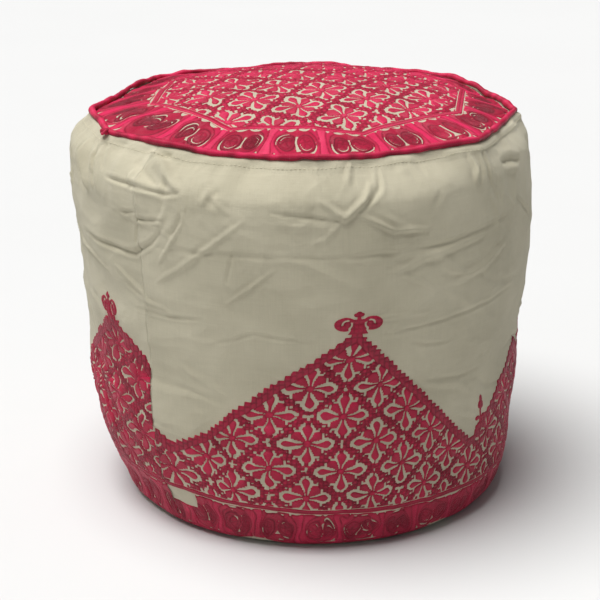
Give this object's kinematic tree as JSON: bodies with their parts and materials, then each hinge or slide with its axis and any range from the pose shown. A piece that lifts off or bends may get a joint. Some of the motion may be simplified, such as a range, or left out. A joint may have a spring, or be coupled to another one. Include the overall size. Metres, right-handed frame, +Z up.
{
  "type": "embroidered cloth floor pouf",
  "caption": "Round stuffed floor pouf in cream cotton with crimson satin-stitch lattice triangles, an octagonal embroidered corded top and a zipped base.",
  "frame": {"origin": "centre of the footprint on the floor", "axes": "+Z up through the seat, -Y towards the front, +X to the front's right"},
  "size_m": [0.4499, 0.4494, 0.4061],
  "materials": {
    "cotton_cloth": "unbleached plain-weave cotton, matt",
    "crimson_thread": "satin-stitched silky thread",
    "crimson_cord": "wound thread over a cord, satin",
    "sewing_thread": "cotton sewing thread, matt",
    "zip_tape": "woven tape, matt",
    "zip_teeth": "nylon coil, satin",
    "zip_metal": "cast zip metal, satin",
    "lining": "bleached muslin, matt",
    "filling": "cotton and fibre wadding, matt"
  },
  "bodies": {
    "root": {"side_panel_front": "cotton_cloth", "side_panel_back": "cotton_cloth", "top_panel": "cotton_cloth", "base_panel_front": "cotton_cloth", "base_panel_rear": "cotton_cloth", "side_seam_left": "cotton_cloth", "side_seam_right": "cotton_cloth", "top_border_embroidery": "crimson_thread", "top_inner_line": "crimson_thread", "top_field_embroidery": "crimson_thread", "lattice_embroidery_front": "crimson_thread", "lattice_embroidery_back": "crimson_thread", "border_line_front": "crimson_thread", "border_line_back": "crimson_thread", "border_embroidery_front": "crimson_thread", "border_embroidery_back": "crimson_thread", "apex_ornament_1": "crimson_thread", "apex_ornament_2": "crimson_thread", "apex_ornament_3": "crimson_thread", "apex_ornament_4": "crimson_thread", "valley_ornament_1": "crimson_thread", "valley_ornament_2": "crimson_thread", "valley_ornament_3": "crimson_thread", "valley_ornament_4": "crimson_thread", "top_edge_cord": "crimson_cord", "edge_cord_knot": "crimson_cord", "top_stitching": "sewing_thread", "zip_tape_front": "zip_tape", "zip_tape_rear": "zip_tape", "zip_teeth_front": "zip_teeth", "zip_teeth_rear": "zip_teeth", "zip_top_stop_front": "zip_metal", "zip_top_stop_rear": "zip_metal", "zip_bottom_stop": "zip_metal", "inner_bag_side": "lining", "inner_bag_base": "lining", "inner_bag_top": "lining", "wadding_pad": "filling", "filling_core": "filling"},
    "zip_slider": {"zip_slider": "zip_metal"},
    "zip_puller": {"zip_puller": "zip_metal"}
  },
  "joints": [
    {"name": "zip_slide", "type": "slide", "parent": "root", "child": "zip_slider", "axis": [-1, 0, 0], "range_m": [0, 0.225]},
    {"name": "zip_puller_hinge", "type": "hinge", "parent": "zip_slider", "child": "zip_puller", "pos_m": [0.12, 0, 0.0034], "axis": [0, -1, 0], "range_deg": [0, 180]}
  ]
}
